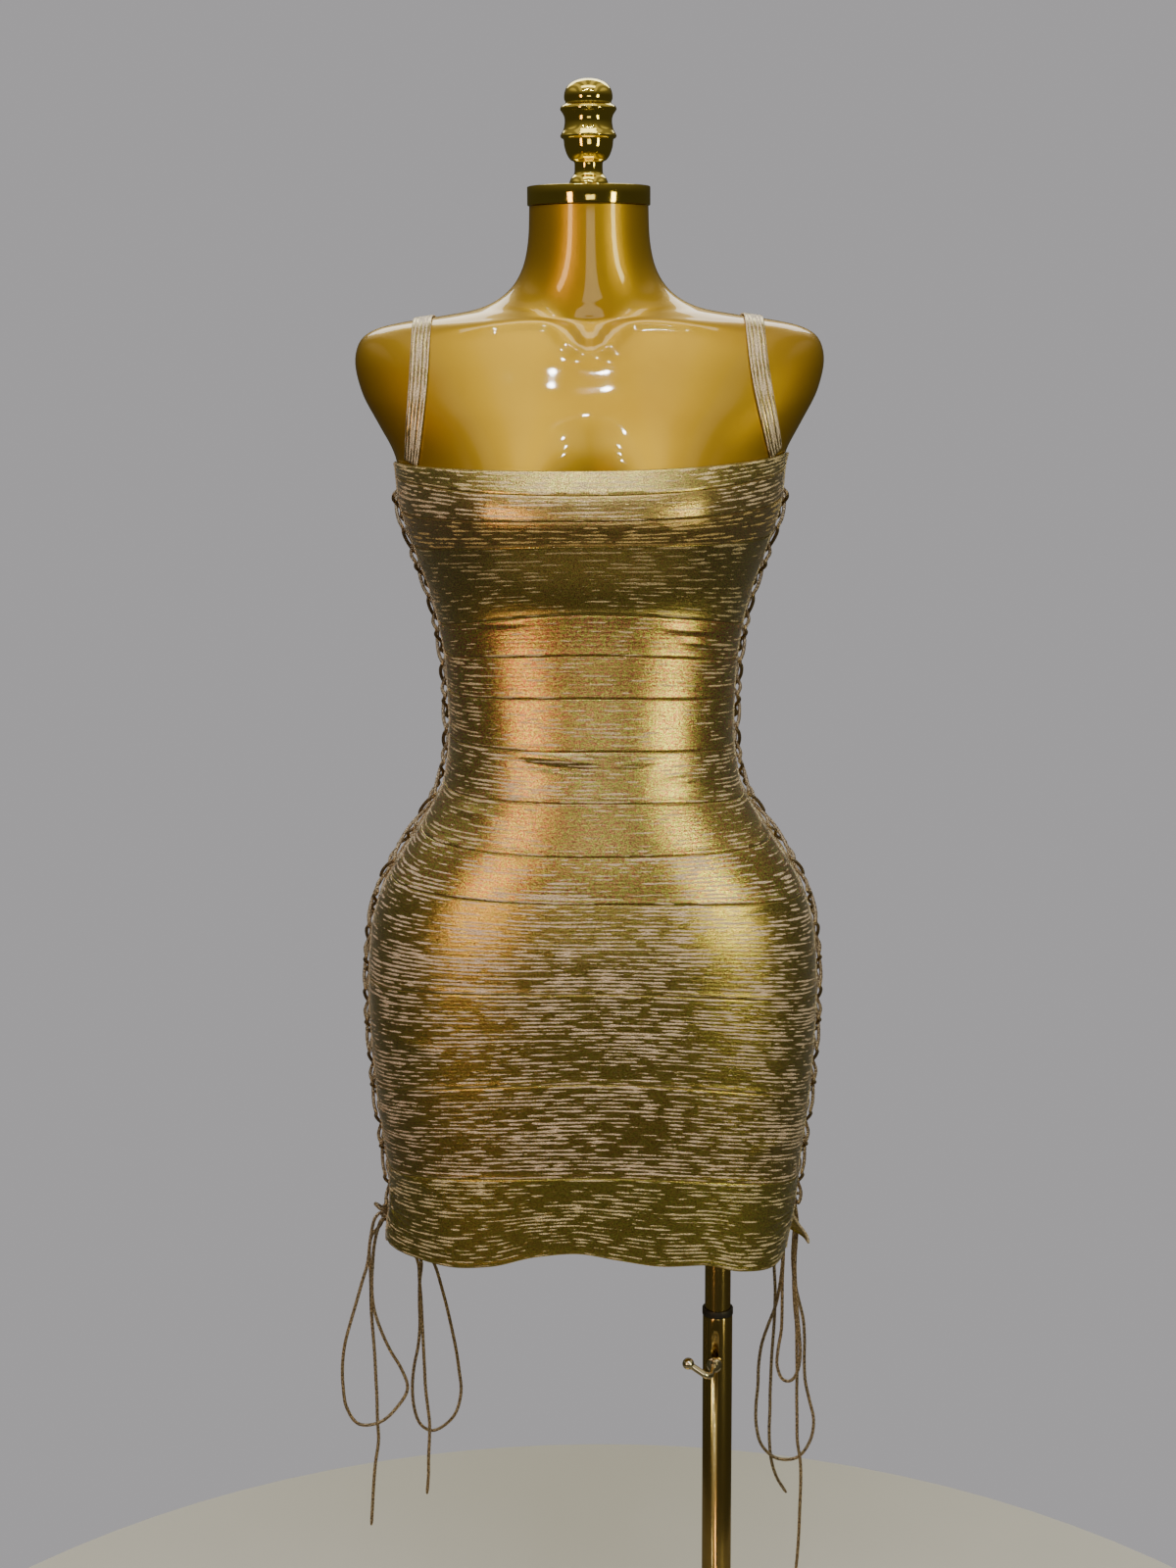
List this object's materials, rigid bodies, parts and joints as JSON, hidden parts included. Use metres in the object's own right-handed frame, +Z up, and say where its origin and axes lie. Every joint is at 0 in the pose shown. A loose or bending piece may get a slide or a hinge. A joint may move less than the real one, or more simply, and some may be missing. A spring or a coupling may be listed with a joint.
{
  "type": "laced bodycon dress on a limbless dress form with a telescopic stand",
  "caption": "Short foil-printed knit dress of joined bands, laced down both sides into bows, worn by a gold limbless torso on a height-adjustable side pole.",
  "frame": {"origin": "on the floor at the centre of the base disc, straight below the middle of the torso", "axes": "+Z up; the front of the dress faces -Y; +X is to the right as seen from the front, towards the pole"},
  "size_m": [0.4157, 0.33, 1.569],
  "materials": {
    "foil_knit": "satin",
    "edge_cord": "satin",
    "lace_cord": "satin",
    "form_paint": "gloss",
    "polished_brass": "polished",
    "pole_metal": "polished",
    "base_metal": "satin",
    "black_bush": "matte",
    "screw_metal": "polished"
  },
  "bodies": {
    "stand": {"base_disc": "base_metal", "base_collar": "pole_metal", "lower_tube": "pole_metal", "tube_bush": "black_bush", "screw_boss": "screw_metal"},
    "set_screw": {"clamp_screw": "screw_metal"},
    "mast": {"inner_tube": "pole_metal"},
    "figure": {"back_band_01": "foil_knit", "back_band_02": "foil_knit", "back_band_03": "foil_knit", "back_band_04": "foil_knit", "back_band_05": "foil_knit", "back_band_06": "foil_knit", "back_band_07": "foil_knit", "back_band_08": "foil_knit", "back_band_09": "foil_knit", "back_band_10": "foil_knit", "back_band_11": "foil_knit", "back_band_12": "foil_knit", "back_band_13": "foil_knit", "back_band_14": "foil_knit", "back_left_binding": "edge_cord", "back_right_binding": "edge_cord", "finial": "polished_brass", "form": "form_paint", "form_floor": "form_paint", "front_band_01": "foil_knit", "front_band_02": "foil_knit", "front_band_03": "foil_knit", "front_band_04": "foil_knit", "front_band_05": "foil_knit", "front_band_06": "foil_knit", "front_band_07": "foil_knit", "front_band_08": "foil_knit", "front_band_09": "foil_knit", "front_band_10": "foil_knit", "front_band_11": "foil_knit", "front_band_12": "foil_knit", "front_band_13": "foil_knit", "front_band_14": "foil_knit", "front_left_binding": "edge_cord", "front_right_binding": "edge_cord", "left_bow_knot": "lace_cord", "left_end_back": "lace_cord", "left_end_front": "lace_cord", "left_lace": "lace_cord", "left_loop_back": "lace_cord", "left_loop_front": "lace_cord", "left_strap": "foil_knit", "neck_cap": "polished_brass", "pole_socket": "pole_metal", "right_bow_knot": "lace_cord", "right_end_long": "lace_cord", "right_end_short": "lace_cord", "right_lace": "lace_cord", "right_loop_long": "lace_cord", "right_loop_short": "lace_cord", "right_strap": "foil_knit"}
  },
  "joints": [
    {"name": "set_screw_turn", "type": "hinge", "parent": "stand", "child": "set_screw", "pos_m": [0.106, 0, 0.507], "axis": [-0.2079, -0.9781, 0], "range_deg": [0, 540]},
    {"name": "height_slide", "type": "slide", "parent": "stand", "child": "mast", "axis": [0, 0, 1], "range_m": [-0.085, 0.32]},
    {"name": "figure_swivel", "type": "hinge", "parent": "mast", "child": "figure", "pos_m": [0.106, 0, 0.65], "axis": [0, 0, 1], "continuous": true}
  ]
}
